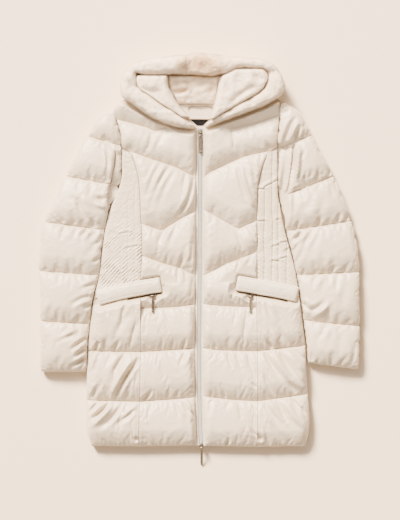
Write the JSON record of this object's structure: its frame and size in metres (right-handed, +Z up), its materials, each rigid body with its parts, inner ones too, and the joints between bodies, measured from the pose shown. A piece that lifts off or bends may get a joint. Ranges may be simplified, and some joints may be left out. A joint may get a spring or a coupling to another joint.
{
  "type": "long puffer coat",
  "caption": "Long quilted puffer coat with a plush hood, laid flat on its back: padded panels and sleeves, slanted pocket welts, a two-way front zip and hinged pull tabs.",
  "frame": {"origin": "middle of the coat's bounding box on the surface that it lies on", "axes": "+X to the right as seen from the front, +Y from the hem to the hood, +Z up, away from the surface"},
  "size_m": [0.768, 0.9899, 0.0748],
  "materials": {
    "padded_cloth": "smooth cream polyester with a soft satin sheen, quilted over padding",
    "plush": "short dense cream plush",
    "label_cloth": "black woven satin, bare",
    "zip_tape": "woven off-white tape",
    "zip_coil": "smooth off-white nylon coil",
    "zip_metal": "aged light bronze"
  },
  "bodies": {
    "coat": {"back_panel": "padded_cloth", "front_centre_left": "padded_cloth", "front_centre_right": "padded_cloth", "ruched_side_left": "padded_cloth", "ruched_side_right": "padded_cloth", "lower_side_left": "padded_cloth", "lower_side_right": "padded_cloth", "pocket_welt_left": "padded_cloth", "pocket_welt_right": "padded_cloth", "sleeve_left": "padded_cloth", "sleeve_right": "padded_cloth", "hood_shell": "padded_cloth", "neck_facing": "padded_cloth", "hanger_loop": "padded_cloth", "hood_band_left": "plush", "hood_band_right": "plush", "hood_lining_left": "plush", "hood_lining_right": "plush", "hood_lining_back": "plush", "neck_label": "label_cloth", "zip_tape_left": "zip_tape", "zip_tape_right": "zip_tape", "zip_chain": "zip_coil", "slider_top": "zip_metal", "slider_bottom": "zip_metal", "pocket_slider_left": "zip_metal", "pocket_slider_right": "zip_metal"},
    "top_tab": {"pull_top": "zip_metal"},
    "hem_tab": {"pull_bottom": "zip_metal"},
    "pocket_tab_left": {"pocket_pull_left": "zip_metal"},
    "pocket_tab_right": {"pocket_pull_right": "zip_metal"}
  },
  "joints": [
    {"name": "top_tab_hinge", "type": "hinge", "parent": "coat", "child": "top_tab", "pos_m": [0.001, 0.305, 0.0258], "axis": [-1, 0, 0], "range_deg": [0, 150]},
    {"name": "hem_tab_hinge", "type": "hinge", "parent": "coat", "child": "hem_tab", "pos_m": [0.004, -0.4505, 0.0258], "axis": [-1, 0, 0], "range_deg": [0, 170]},
    {"name": "pocket_tab_left_hinge", "type": "hinge", "parent": "coat", "child": "pocket_tab_left", "pos_m": [-0.113, -0.087, 0.0331], "axis": [-1, 0, 0], "range_deg": [0, 75]},
    {"name": "pocket_tab_right_hinge", "type": "hinge", "parent": "coat", "child": "pocket_tab_right", "pos_m": [0.121, -0.088, 0.0331], "axis": [-1, 0, 0], "range_deg": [0, 75]}
  ]
}
